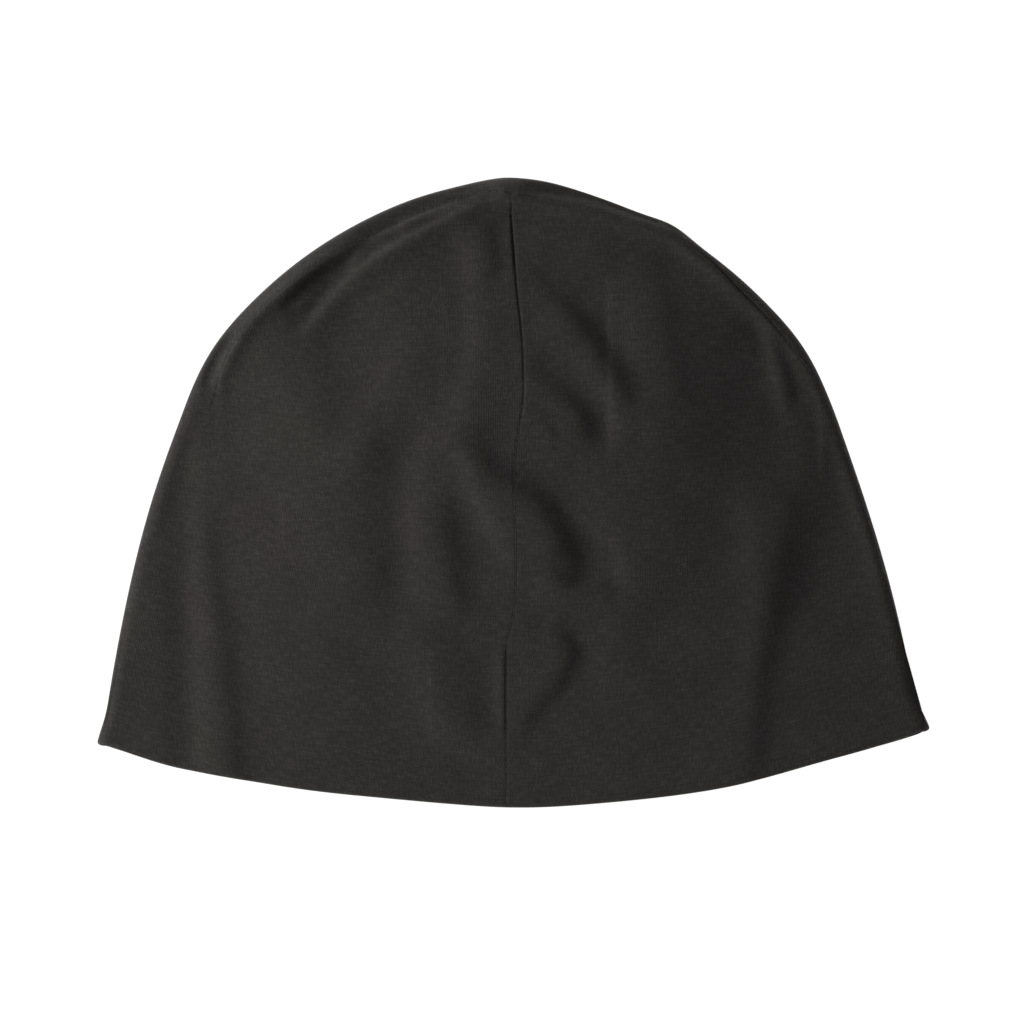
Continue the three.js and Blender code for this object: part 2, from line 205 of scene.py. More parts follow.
# The patch where the label shows through: west, east, south and north edges, and its height.
LABEL_PATCH = (-26, -2.5, -76.5, -49.5, 0.3)

# The studio: the floor's curved rim as reach and height, and each light's name, place in metres,
# size and power.
FLOOR_GAP = 0.3
FLOOR_RIM = [(2300, 0), (2600, 40), (2780, 160), (2860, 380), (2880, 700)]
FLOOR_GLOW = 1.0
WORLD_LIGHT = 0.115
LIGHTS = [
    ("west softbox", (-1.45, -0.08, 0.95), 0.7, 35.5),
    ("top fill", (-0.3, 0.4, 1.7), 1.0, 1.5),
]
CAMERA_LENS = 224
CAMERA_PLACE = (-0.00016, -0.0063, 2.006)


def smoothstep(low, high, value):
    share = np.clip((value - low) / (high - low), 0, 1)
    return share * share * (3 - 2 * share)


def ripple(x, y, wavelength, seed):
    """Smooth seeded relief of about one wavelength, mostly between -1 and 1."""
    rng = np.random.default_rng(seed)
    total = np.zeros_like(x, dtype=float)
    waves = 14
    for _ in range(waves):
        angle, phase, stretch = rng.uniform(0, math.tau), rng.uniform(0, math.tau), rng.uniform(0.7, 1.5)
        turns = (x * math.cos(angle) + y * math.sin(angle)) / (wavelength * stretch)
        total += np.cos(math.tau * turns + phase)
    return total / math.sqrt(waves)


def bezier(points, shares):
    a, b, c, d = (np.asarray(p, float) for p in points)
    t = shares[:, None]
    return a * (1 - t) ** 3 + 3 * b * t * (1 - t) ** 2 + 3 * c * t * t * (1 - t) + d * t ** 3


def resampled(line, step):
    """The same line with evenly spaced points about one step apart."""
    line = np.asarray(line, float)
    run = np.concatenate([[0], np.cumsum(np.linalg.norm(np.diff(line, axis=0), axis=1))])
    places = np.linspace(0, run[-1], max(2, round(run[-1] / step) + 1))
    return np.column_stack([np.interp(places, run, line[:, i]) for i in range(line.shape[1])])


def smooth_line(points, step=1.5):
    """A Catmull-Rom curve through the points."""
    p = np.asarray(points, float)
    p = np.vstack([2 * p[0] - p[1], p, 2 * p[-1] - p[-2]])
    parts = []
    t = np.linspace(0, 1, 12)[:, None]
    for a, b, c, d in zip(p, p[1:], p[2:], p[3:]):
        parts.append(0.5 * (2 * b + (c - a) * t + (2 * a - 5 * b + 4 * c - d) * t ** 2
                            + (3 * b - a - 3 * c + d) * t ** 3))
    return resampled(np.vstack(parts), step)


def beside(line, x, y):
    """Distance from a line, above zero on the left of its run, and the share of the way along it."""
    best = np.full(x.shape, 1e9)
    side = np.ones(x.shape)
    along = np.zeros(x.shape)
    for i, ((ax, ay), (bx, by)) in enumerate(zip(line, line[1:])):
        sx, sy = bx - ax, by - ay
        t = np.clip(((x - ax) * sx + (y - ay) * sy) / max(sx * sx + sy * sy, 1e-9), 0, 1)
        dx, dy = x - ax - t * sx, y - ay - t * sy
        distance = np.hypot(dx, dy)
        closer = distance < best
        best = np.where(closer, distance, best)
        side = np.where(closer, np.where(sx * dy - sy * dx >= 0, 1, -1), side)
        along = np.where(closer, (i + t) / (len(line) - 1), along)
    return best * side, along


def heading(degrees, side):
    angle = math.radians(degrees)
    return np.array([side * math.cos(angle), -math.sin(angle)])


def outline(side):
    """The edge of the cap in plan, from the top of the crown to the corner."""
    s = SIDES[side]
    shoulder, corner = np.array(s["shoulder"], float), np.array(s["corner"], float)
    down, end = heading(s["angle"], side), heading(s["corner_angle"], side)
    upper = [APEX, (APEX[0] + side * s["top"], TOP), shoulder - down * s["above"], shoulder]
    lower = [shoulder, shoulder + down * s["below"], corner - end * s["end"], corner]
    shares = np.linspace(0, 1, 160)
    line = np.vstack([bezier(upper, shares), bezier(lower, shares)[1:]])
    flare = smoothstep(corner[1] + FLARE_LENGTH, corner[1], line[:, 1])
    line[:, 0] += side * FLARE * flare ** 1.5
    return resampled(line, EDGE_STEP)


# The edge as one line, from the left corner over the crown to the right corner.
EDGE = np.vstack([outline(LEFT)[::-1], outline(RIGHT)[1:]])
RUN = np.gradient(EDGE, axis=0)
RUN /= np.linalg.norm(RUN, axis=1)[:, None]
OUTWARD = np.column_stack([-RUN[:, 1], RUN[:, 0]])
for _place, _reach, _amount in BULGES:
    _away = np.linalg.norm(EDGE - _place, axis=1)
    EDGE = EDGE + OUTWARD * (_amount * np.exp(-0.5 * (_away / _reach) ** 2))[:, None]
APEX_INDEX = int(np.argmax(EDGE[:, 1]))


def inset_edge(inset):
    return EDGE - OUTWARD * inset


SEAT = inset_edge(FOLD_RADIUS)
SEAT_LEFT = SEAT[:APEX_INDEX + 1]
SEAT_RIGHT = SEAT[APEX_INDEX:][::-1]


def across(x, y):
    """From -1 at the left seat to 1 at the right one, on a level line through the point."""
    west = np.interp(y, SEAT_LEFT[:, 1], SEAT_LEFT[:, 0])
    east = np.interp(y, SEAT_RIGHT[:, 1], SEAT_RIGHT[:, 0])
    return np.clip(2 * (x - west) / np.maximum(east - west, 1e-3) - 1, -1, 1)


def hem_y(x, hem):
    """The hem's line in plan, between the seats of the two corners."""
    (west, west_y), (east, east_y) = SEAT[0], SEAT[-1]
    share = np.clip((x - west) / (east - west), 0, 1)
    a = 2 * share - 1
    power = np.where(a < 0, hem["left"], hem["right"])
    lift = sum(rise * np.exp(-0.5 * ((x - place) / reach) ** 2) for place, reach, rise in HEM_WAVES)
    return west_y + (east_y - west_y) * share - hem["sag"] * (1 - np.abs(a) ** power) + lift


SEAM_LINE = smooth_line(BACK_SEAM, 0.8)
DART_LINES = {side: smooth_line(points, 0.9) for side, points in DARTS.items()}


def wrinkle(x, y, height, width, recover, points):
    line = smooth_line(points)
    low, high = line.min(0) - 30, line.max(0) + 30
    near = (x > low[0]) & (x < high[0]) & (y > low[1]) & (y < high[1])
    relief = np.zeros_like(x)
    d, along = beside(line, x[near], y[near])
    strength = height * (1 - (2 * along - 1) ** 4)
    if recover == 0:
        relief[near] = strength * np.exp(-0.5 * (d / width) ** 2)
        return relief
    step = np.tanh(d / width)
    fade = np.exp(-0.5 * (np.maximum(np.abs(d) - width, 0) / recover) ** 2)
    relief[near] = strength * 0.5 * step * fade
    return relief


def label_patch(x, y):
    west, east, south, north, height = LABEL_PATCH
    inside_x = smoothstep(west - 0.8, west + 0.8, x) * (1 - smoothstep(east - 0.8, east + 0.8, x))
    inside_y = smoothstep(south - 0.8, south + 0.8, y) * (1 - smoothstep(north - 0.8, north + 0.8, y))
    return height * inside_x * inside_y


def back_seam_relief(x, y, softness):
    """The groove of the back seam, with the cloth west of it standing proud of the cloth east."""
    d, _ = beside(SEAM_LINE, x, y)
    depth = seam_depth(y)
    groove = -depth * np.exp(-0.5 * (d / (GROOVE_WIDTH * softness)) ** 2)
    welt = 0.25 * depth * np.exp(-0.5 * ((np.abs(d) - 1.3) / 0.9) ** 2)
    proud = 0.4 * depth * np.exp(-0.5 * (np.minimum(d, 0) / 4) ** 2) * (0.5 - 0.5 * np.tanh(d / 0.4))
    return groove + welt + proud


def seam_depth(y):
    places, depths = zip(*BACK_SEAM_DEPTH)
    return np.interp(y, places, depths)


def dart_relief(x, y, softness):
    """A raised line of cloth along each crown dart, with the sewn groove outside it."""
    ridges = np.zeros_like(x)
    grooves = np.zeros_like(x)
    for side, line in DART_LINES.items():
        d, along = beside(line, x, y)
        inner = d * side * -1
        strength = 1 - along ** 6
        share = smoothstep(0.4, 0.7, along)
        start, end, outer_width, inner_width = DART_RIDGE[side]
        from_crest = inner - DART_CREST
        width = np.where(from_crest < 0, outer_width, inner_width)
        ridge = strength * (start + (end - start) * share) * np.exp(-0.5 * (from_crest / width) ** 2)
        ridges = np.maximum(ridges, ridge)
        start, end = DART_GROOVE[side]
        groove = np.exp(-0.5 * (inner / (DART_GROOVE_WIDTH * softness)) ** 2)
        grooves += strength * smoothstep(0, 0.03, along) * (start + (end - start) * share) * groove
    return ridges - grooves


def upper_height(x, y, depth=0.0, softness=1.0):
    """Height of a layer's outer face on the near wall, at its depth below the shell's outer face."""
    a = across(x, y)
    drop = TOP - y
    ridge = FLAT_HEIGHT + (CROWN_LOFT - FLAT_HEIGHT) * smoothstep(FOLD_RADIUS, PEAK_DROP, drop)
    ridge = ridge - (CROWN_LOFT - MOUTH_LOFT) * smoothstep(PEAK_DROP, 2 * TOP, drop)
    swell = 0.5 * np.cos(math.pi / 2 * a) ** 2 + 0.5 * (1 - smoothstep(0.45, 1.0, np.abs(a)))
    height = FLAT_HEIGHT + (ridge - FLAT_HEIGHT) * swell
    relief = np.zeros_like(x)
    for one in WRINKLES:
        relief += wrinkle(x, y, *one)
    for height_of_one, wavelength, seed in RIPPLES:
        relief += height_of_one * ripple(x, y, wavelength, seed)
    edge = np.abs(beside(EDGE, x, y)[0])
    relief *= smoothstep(0.5, FOLD_RADIUS + 4, edge)
    for one in CROWN_PLEATS:
        relief += wrinkle(x, y, *one)
    relief += label_patch(x, y) + back_seam_relief(x, y, softness) + dart_relief(x, y, softness)
    inset = np.clip((edge - depth) / (FOLD_RADIUS - depth), 0, 1)
    rounded = np.sqrt(1 - (1 - inset) ** 2)
    return FOLD_RADIUS + (height + relief - depth - FOLD_RADIUS) * rounded


def cloth_place(x, y):
    """Where a point is on the knitted cloth: across its wales and along them."""
    lean = 0.16 * smoothstep(-5, -70, x)
    sag = (hem_y(x, NEAR_HEM) - hem_y(np.zeros_like(x), NEAR_HEM)) * smoothstep(60, -90, y)
    return np.column_stack([x + lean * y, y - sag])


class Cloth:
    """Gathers the points and faces of one sheet, with each point's place on the knitted cloth."""

    def __init__(self):
        self.points = []
        self.places = []
        self.faces = []
        self.count = 0

    def add(self, points, places):
        first = self.count
        self.points.append(points)
        self.places.append(places)
        self.count += len(points)
        return np.arange(first, self.count)

    def mesh_object(self, name):
        return mesh_object(name, np.vstack(self.points), self.faces, np.vstack(self.places))


def mesh_object(name, points, faces, places=None):
    mesh = bpy.data.meshes.new(name)
    mesh.from_pydata((np.asarray(points) * MM).tolist(), [], [list(map(int, f)) for f in faces])
    mesh.polygons.foreach_set("use_smooth", [True] * len(mesh.polygons))
    if places is not None:
        flat = np.column_stack([places, np.zeros(len(places))]).astype(np.float32).ravel()
        mesh.attributes.new("cloth", "FLOAT_VECTOR", "POINT").data.foreach_set("vector", flat)
    mesh.update()
    obj = bpy.data.objects.new(name, mesh)
    bpy.context.scene.collection.objects.link(obj)
    return obj


def wall_lattice(boundary, step, lines, clear):
    """Points in even rows inside a boundary, and closer rows along each line that it follows."""
    low, high = boundary.min(0), boundary.max(0)
    rows = []
    for i, y in enumerate(np.arange(low[1], high[1], step * math.sqrt(0.75))):
        x = np.arange(low[0] + (i % 2) * step / 2, high[0], step)
        rows.append(np.column_stack([x, np.full_like(x, y)]))
    points = np.vstack(rows)
    for line, offsets, reach in lines:
        d, _ = beside(line, points[:, 0], points[:, 1])
        points = points[np.abs(d) > reach]
        run = np.gradient(line, axis=0)
        run /= np.linalg.norm(run, axis=1)[:, None]
        side = np.column_stack([-run[:, 1], run[:, 0]])
        points = np.vstack([points, *[line + side * offset for offset in offsets]])
    ring = np.vstack([boundary, boundary[:1]])
    d, _ = beside(ring, points[:, 0], points[:, 1])
    return points[-d > clear]


def triangulated(boundary, inner):
    """Triangles inside the boundary, which runs clockwise, as numbers of boundary then inner points."""
    points = np.vstack([boundary, inner])
    count = len(boundary)
    edges = [(i, (i + 1) % count) for i in range(count)]
    found = delaunay_2d_cdt([Vector(p) for p in points.tolist()], edges, [], 1, 1e-5, True)
    originals = [ids[0] for ids in found[3]]
    return [[originals[i] for i in face] for face in found[2]]


def trimmed_edge(cut):
    """The cap's edge and its outward directions, cut short at both corners."""
    run = np.concatenate([[0], np.cumsum(np.linalg.norm(np.diff(EDGE, axis=0), axis=1))])
    places = np.linspace(cut, run[-1] - cut, round((run[-1] - 2 * cut) / EDGE_STEP))
    edge = np.column_stack([np.interp(places, run, EDGE[:, i]) for i in (0, 1)])
    outward = np.column_stack([np.interp(places, run, OUTWARD[:, i]) for i in (0, 1)])
    return edge, outward / np.linalg.norm(outward, axis=1)[:, None]


def hem_line(hem, west, east, back):
    """The points of a wall's lower border between its two ends, drawn back from the hem."""
    x = np.linspace(west[0], east[0], round((east[0] - west[0]) / EDGE_STEP))
    y = hem_y(x, hem) + back
    share = (x - x[0]) / (x[-1] - x[0])
    y += (west[1] - y[0]) * (1 - share) ** 12 + (east[1] - y[-1]) * share ** 12
    return np.column_stack([x, y])[1:-1]


def detail_lines(edge):
    """What the shell's near wall follows closely: lines, offsets of the rows beside them, and reach."""
    lines = [(edge, (-4.6, -3.7, -2.9, -2.2, -1.6), 5.2)]
    for line in DART_LINES.values():
        lines.append((line, (-1.2, -0.7, -0.4, -0.18, 0, 0.18, 0.4, 0.7, 1.2), 1.7))
    lines.append((SEAM_LINE, (-1.3, -0.8, -0.45, -0.2, 0, 0.2, 0.45, 0.8, 1.3), 1.8))
    return lines


def add_near_wall(cloth, boundary, step, height_of, lines):
    """The upper wall, at the height that a function gives."""
    inner = wall_lattice(boundary, step, lines, 0.3 * min(step, NEAR_STEP))
    plan = np.vstack([boundary, inner])
    x, y = plan[:, 0], plan[:, 1]
    height = height_of(x, y)
    ids = cloth.add(np.column_stack([plan, height]), cloth_place(x, y))
    cloth.faces += [[ids[i] for i in face] for face in triangulated(boundary, inner)]
    return ids, height


def add_far_wall(cloth, boundary, seat_count, depth):
    """The lower wall, flat on the floor but for a faint swell."""
    inner = wall_lattice(boundary, FAR_STEP, [], 1.5)
    plan = np.vstack([boundary, inner])
    x, y = plan[:, 0], plan[:, 1]
    swell = FAR_SWELL * (1 + np.clip(ripple(x, y, 30, 9), -1, 1))
    swell[:seat_count] = 0
    ids = cloth.add(np.column_stack([plan, depth + swell]), cloth_place(x, y))
    cloth.faces += [[ids[i] for i in face[::-1]] for face in triangulated(boundary, inner)]
    return ids


def add_fold(cloth, edge, outward, seat, top, radius, seat_top, seat_bottom):
    """The rounded fold between the walls, as columns of points from the upper seat to the lower."""
    columns = [seat_top]
    start = math.acos(1 - SEAT_INSET / radius)
    seat_place = cloth_place(seat[:, 0], seat[:, 1])
    for angle in np.linspace(start, -math.pi / 2, FOLD_COLUMNS + 1)[1:-1]:
        inset = FOLD_RADIUS - radius * math.cos(angle)
        rise = (top - FOLD_RADIUS) / math.sin(start) if angle > 0 else np.full(len(seat), radius)
        spot = np.column_stack([edge - outward * inset, FOLD_RADIUS + rise * math.sin(angle)])
        columns.append(cloth.add(spot, seat_place + outward * (start - angle) * radius))
    columns.append(seat_bottom)
    for one, other in zip(columns, columns[1:]):
        for k in range(len(seat) - 1):
            cloth.faces.append([one[k], one[k + 1], other[k + 1], other[k]])
    return columns


def layer(depth, near_step, hem_back, height_of, follow_detail):
    """One layer of the cap, its outer face at a depth inside the shell's: an open pouch."""
    cloth = Cloth()
    radius = FOLD_RADIUS - depth
    edge, outward = trimmed_edge(hem_back)
    seat = edge - outward * (depth + SEAT_INSET)
    floor_seat = edge - outward * FOLD_RADIUS
    count = len(seat)

    near_hem = hem_line(NEAR_HEM, seat[0], seat[-1], hem_back)
    near_boundary = np.vstack([seat, near_hem[::-1]])
    lines = detail_lines(edge) if follow_detail else []
    near, height = add_near_wall(cloth, near_boundary, near_step, height_of, lines)

    far_hem = hem_line(FAR_HEM, floor_seat[0], floor_seat[-1], hem_back)
    far_boundary = np.vstack([floor_seat, far_hem[::-1]])
    far = add_far_wall(cloth, far_boundary, count, depth)

    columns = add_fold(cloth, edge, outward, seat, height[:count], radius, near[:count], far[:count])
    near_hem_ids = near[count:len(near_boundary)][::-1]
    far_hem_ids = far[count:len(far_boundary)][::-1]
    ring = [*[c[0] for c in columns[::-1]], *near_hem_ids, *[c[-1] for c in columns], *far_hem_ids[::-1]]
    return cloth, np.array(ring)


def seam_room(x, y):
    """How much further in the lining lies below a seam of the shell."""
    room = np.zeros_like(x)
    back_most = 0.3 + 0.75 * seam_depth(y)
    for line, most in ((SEAM_LINE, back_most), (DART_LINES[LEFT], 0.8), (DART_LINES[RIGHT], 0.8)):
        d, _ = beside(line, x, y)
        room = np.maximum(room, most * np.exp(-0.5 * (d / 1.8) ** 2))
    return room


def steep_room(x, y):
    """How much further in the lining lies where the near wall is steep, to keep clear of the shell."""
    reach = 0.6
    east_slope = (upper_height(x + reach, y) - upper_height(x - reach, y)) / (2 * reach)
    north_slope = (upper_height(x, y + reach) - upper_height(x, y - reach)) / (2 * reach)
    slope = np.minimum(np.hypot(east_slope, north_slope), 2.0)
    edge = np.abs(beside(EDGE, x, y)[0])
    return 1.2 * (np.sqrt(1 + slope ** 2) - 1) * smoothstep(2.2, 4.6, edge)


def lining_height(x, y):
    """Height of the lining's outer face on the near wall."""
    height = upper_height(x, y, LINING_DEPTH, LINING_SOFTNESS)
    return height - np.maximum(seam_room(x, y), steep_room(x, y))


def hem_frame(points, ring):
    """At each point of the open edge: the way out of the mouth and the way into the cavity."""
    loop = points[ring]
    tangent = np.roll(loop, -1, axis=0) - np.roll(loop, 1, axis=0)
    tangent /= np.linalg.norm(tangent, axis=1)[:, None]
    share = ((loop[:, 0] - loop[:, 0].min()) / np.ptp(loop[:, 0]))[:, None]
    flat = (1 - share) * -RUN[0] + share * RUN[-1]
    middle = np.array([[0.0, -1.0]])
    weight = (4 * share * (1 - share)) ** 0.3
    flat = flat * (1 - weight) + middle * weight
    out = np.column_stack([flat, np.zeros(len(loop))])
    out -= tangent * np.sum(out * tangent, axis=1)[:, None]
    out /= np.linalg.norm(out, axis=1)[:, None]
    return out, np.cross(tangent, out)


def turn_hem(cloth, ring):
    """Rolls the shell's edge round the mouth and a little way back inside."""
    points = np.vstack(cloth.points)
    places = np.vstack(cloth.places)[ring]
    out, inward = hem_frame(points, ring)
    loop = points[ring]
    rings = [ring]
    for i in range(1, HEM_ROWS + 1):
        angle = math.pi * i / HEM_ROWS
        spot = loop + inward * HEM_RADIUS * (1 - math.cos(angle)) + out * HEM_RADIUS * math.sin(angle)
        rings.append(cloth.add(spot, places - [0, HEM_RADIUS * angle]))
    for i in (1, 2):
        spot = loop + inward * 2 * HEM_RADIUS - out * HEM_TURN * i / 2
        rings.append(cloth.add(spot, places - [0, HEM_RADIUS * math.pi + HEM_TURN * i / 2]))
    count = len(ring)
    for one, other in zip(rings, rings[1:]):
        for k in range(count):
            n = (k + 1) % count
            cloth.faces.append([one[k], other[k], other[n], one[n]])
    return loop, out, inward


def solid(obj, thickness):
    """Gives a surface its thickness, measured inwards."""
    modifier = obj.modifiers.new("thickness", "SOLIDIFY")
    modifier.thickness = thickness * MM
    modifier.offset = -1
    return obj


def thread_mesh(name, starts, ends, radius, sides=6):
    """A row of stitches: short rounded lengths of thread, each from its start to its end."""
    points, faces = [], []
    profile = [(0.0, 0.35), (0.12, 0.85), (0.35, 1.0), (0.65, 1.0), (0.88, 0.85), (1.0, 0.35)]
    for a, b in zip(np.asarray(starts, float), np.asarray(ends, float)):
        run = (b - a) / np.linalg.norm(b - a)
        side = np.cross(run, [0.13, 0.21, 0.97])
        side /= np.linalg.norm(side)
        up = np.cross(side, run)
        first = len(points)
        for share, width in profile:
            for i in range(sides):
                turn = math.tau * i / sides
                around = side * math.cos(turn) + up * math.sin(turn)
                points.append(a + (b - a) * share + around * radius * width)
        for ring in range(len(profile) - 1):
            for i in range(sides):
                one, two = first + ring * sides + i, first + ring * sides + (i + 1) % sides
                faces.append([one, two, two + sides, one + sides])
        faces.append([first + i for i in range(sides)][::-1])
        faces.append([first + (len(profile) - 1) * sides + i for i in range(sides)])
    return mesh_object(name, points, faces)


def stitch_row(name, line, pitch, length, radius):
    """Stitches end to end along a line in space."""
    line = resampled(line, pitch)
    starts, ends = line[:-1], line[1:]
    gap = (1 - length / pitch) / 2
    return thread_mesh(name, starts + (ends - starts) * gap, ends - (ends - starts) * gap, radius)


def on_wall(line, depth):
    return np.column_stack([line, upper_height(line[:, 0], line[:, 1]) - depth])


def finish_piece(obj, material, slot_name, body, *nodes):
    obj.data.materials.clear()
    obj.data.materials.append(material)
    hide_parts(*nodes)
    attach(obj, body)
    return obj


# ---- materials ----------------------------------------------------------------------------------

class Nodes:
    """Short calls for building a node tree."""

    def __init__(self, name):
        self.material = bpy.data.materials.new(name)
        self.material.use_nodes = True
        self.tree = self.material.node_tree
        self.shader = self.tree.nodes["Principled BSDF"]

    def link(self, source, socket):
        self.tree.links.new(source, socket)

    def math(self, operation, a, b=0.0, c=0.0):
        node = self.tree.nodes.new("ShaderNodeMath")
        node.operation = operation
        for socket, value in zip(node.inputs, (a, b, c)):
            if isinstance(value, (int, float)):
                socket.default_value = value
            else:
                self.link(value, socket)
        return node.outputs[0]

    def mix(self, a, share, b, c):
        """a + share * (b - c), for building up tones."""
        return self.math("MULTIPLY_ADD", self.math("SUBTRACT", b, c), share, a)

    def cloth(self):
        node = self.tree.nodes.new("ShaderNodeAttribute")
        node.attribute_name = "cloth"
        split = self.tree.nodes.new("ShaderNodeSeparateXYZ")
        self.link(node.outputs["Vector"], split.inputs[0])
        return split.outputs[0], split.outputs[1]

    def noise(self, x, y, detail=1.0, roughness=0.5):
        join = self.tree.nodes.new("ShaderNodeCombineXYZ")
        self.link(x, join.inputs[0])
        self.link(y, join.inputs[1])
        node = self.tree.nodes.new("ShaderNodeTexNoise")
        node.noise_dimensions = "2D"
        node.inputs["Scale"].default_value = 1.0
        node.inputs["Detail"].default_value = detail
        node.inputs["Roughness"].default_value = roughness
        self.link(join.outputs[0], node.inputs["Vector"])
        return node.outputs["Fac"]

    def grain(self, u, v, across, along, detail=1.0, roughness=0.5):
        """Noise over the cloth, with its frequencies across and along the wales."""
        u = self.math("MULTIPLY", u, across)
        v = self.math("MULTIPLY", v, along)
        return self.noise(u, v, detail, roughness)

    def ramp(self, factor, stops):
        node = self.tree.nodes.new("ShaderNodeValToRGB")
        elements = node.color_ramp.elements
        while len(elements) < len(stops):
            elements.new(0.5)
        for element, (place, colour) in zip(elements, stops):
            element.position = place
            element.color = (*colour, 1)
        self.link(factor, node.inputs[0])
        return node.outputs[0]

    def multiplied(self, a, b):
        node = self.tree.nodes.new("ShaderNodeMix")
        node.data_type = "RGBA"
        node.blend_type = "MULTIPLY"
        node.inputs["Factor"].default_value = 1.0
        self.link(a, node.inputs["A"])
        self.link(b, node.inputs["B"])
        return node.outputs["Result"]

    def bump(self, height, distance, strength):
        node = self.tree.nodes.new("ShaderNodeBump")
        node.inputs["Strength"].default_value = strength
        node.inputs["Distance"].default_value = distance
        self.link(height, node.inputs["Height"])
        self.link(node.outputs[0], self.shader.inputs["Normal"])

    def finish(self, roughness, sheen, sheen_roughness, sheen_tint, specular=0.3):
        inputs = self.shader.inputs
        inputs["Roughness"].default_value = roughness
        inputs["Specular IOR Level"].default_value = specular
        inputs["Sheen Weight"].default_value = sheen
        inputs["Sheen Roughness"].default_value = sheen_roughness
        inputs["Sheen Tint"].default_value = (*sheen_tint, 1)
        return self.material


def knit_material(name, dark, middle, light, wale, course, sheen):
    """Fine jersey: wales of small loops, heathered yarn, slubs, fuzz and slow mottling."""
    n = Nodes(name)
    u, v = n.cloth()
    wander = n.grain(u, v, 0.11, 0.05, 2)
    wales = n.math("MULTIPLY_ADD", wander, 0.9, n.math("DIVIDE", u, wale))
    rib = n.math("COSINE", n.math("MULTIPLY", wales, math.tau))
    rib = n.math("MULTIPLY_ADD", rib, 0.5, 0.5)
    leaning = n.math("PINGPONG", wales, 0.5)
    courses = n.math("MULTIPLY_ADD", leaning, 0.9, n.math("DIVIDE", v, course))
    loop = n.math("MULTIPLY_ADD", n.math("COSINE", n.math("MULTIPLY", courses, math.tau)), 0.5, 0.5)
    dashes = n.noise(wales, n.math("MULTIPLY", v, 0.42), 2, 0.6)
    slub = n.grain(u, v, 0.2, 1.5, 2, 0.6)
    mottle = n.grain(u, v, 0.06, 0.07, 3)
    fibre = n.grain(u, v, 3.1, 2.2, 3, 0.7)
    patches = n.grain(u, v, 0.021, 0.017, 1)
    patches = n.math("MULTIPLY_ADD", patches, 1.6, -0.4)
    shown = n.math("MULTIPLY", n.math("SUBTRACT", rib, 0.5), patches)
    tone = n.math("MULTIPLY_ADD", shown, 0.14, 0.42)
    tone = n.mix(tone, 0.05, loop, 0.5)
    tone = n.mix(tone, 0.4, dashes, 0.5)
    tone = n.mix(tone, 0.38, slub, 0.5)
    tone = n.mix(tone, 0.12, mottle, 0.5)
    strong = n.math("MULTIPLY_ADD", patches, 0.75, 0.1)
    tone = n.mix(tone, strong, fibre, 0.5)
    speck = n.grain(u, v, 1.7, 1.9, 1)
    speck = n.math("MULTIPLY", n.math("GREATER_THAN", speck, 0.80), 0.35)
    tone = n.math("ADD", tone, speck)
    yarn = n.ramp(tone, [(0.12, dark), (0.42, middle), (0.85, light)])
    hue = n.grain(u, v, 0.035, 0.04, 1)
    tint = n.ramp(hue, [(0.3, (0.99, 1.0, 0.94)), (0.5, (1.0, 0.98, 0.96)), (0.7, (1.02, 0.965, 0.99))])
    n.link(n.multiplied(yarn, tint), n.shader.inputs["Base Color"])
    height = n.math("MULTIPLY", shown, 0.8)
    height = n.mix(height, 0.25, loop, 0.5)
    height = n.mix(height, 1.2, fibre, 0.5)
    height = n.mix(height, 1.2, slub, 0.5)
    n.bump(height, 0.00016, 0.6)
    return n.finish(0.95, sheen, 0.45, (0.72, 0.70, 0.68), 0.15)


def thread_material():
    n = Nodes("thread")
    position = n.tree.nodes.new("ShaderNodeTexCoord").outputs["Object"]
    split = n.tree.nodes.new("ShaderNodeSeparateXYZ")
    n.link(position, split.inputs[0])
    along = n.math("MULTIPLY", n.math("ADD", split.outputs[0], split.outputs[1]), 9000)
    twist = n.math("MULTIPLY_ADD", n.math("SINE", along), 0.5, 0.5)
    stops = [(0.0, (0.008, 0.0076, 0.007)), (1.0, (0.026, 0.0245, 0.023))]
    n.link(n.ramp(twist, stops), n.shader.inputs["Base Color"])
    n.bump(twist, 0.00004, 0.6)
    return n.finish(0.55, 0.2, 0.4, (0.6, 0.6, 0.6))


def label_material():
    """Black satin tape: fine warp ribs, a faint herringbone and closer-woven selvedges."""
    n = Nodes("label tape")
    u, v = n.cloth()
    warp = n.math("MULTIPLY_ADD", n.math("COSINE", n.math("MULTIPLY", u, math.tau / 0.3)), 0.5, 0.5)
    slope = n.math("MULTIPLY_ADD", n.math("PINGPONG", u, 1.2), 1.0, v)
    bone = n.math("MULTIPLY_ADD", n.math("COSINE", n.math("MULTIPLY", slope, math.tau / 0.5)), 0.5, 0.5)
    worn = n.grain(u, v, 0.4, 0.4, 3)
    tone = n.mix(n.mix(n.mix(0.4, 0.3, warp, 0.5), 0.3, bone, 0.5), 0.5, worn, 0.5)
    stops = [(0.0, (0.006, 0.006, 0.0058)), (1.0, (0.03, 0.029, 0.028))]
    n.link(n.ramp(tone, stops), n.shader.inputs["Base Color"])
    n.bump(n.mix(warp, 0.6, bone, 0.5), 0.00005, 0.5)
    return n.finish(0.42, 0.1, 0.3, (0.7, 0.7, 0.7), 0.5)


def floor_material():
    n = Nodes("pale floor")
    n.shader.inputs["Base Color"].default_value = (0.08, 0.08, 0.08, 1)
    n.shader.inputs["Roughness"].default_value = 1
    n.shader.inputs["Specular IOR Level"].default_value = 0
    n.shader.inputs["Emission Color"].default_value = (1, 1, 1, 1)
    n.shader.inputs["Emission Strength"].default_value = FLOOR_GLOW
    return n.material


# ---- the pieces ---------------------------------------------------------------------------------

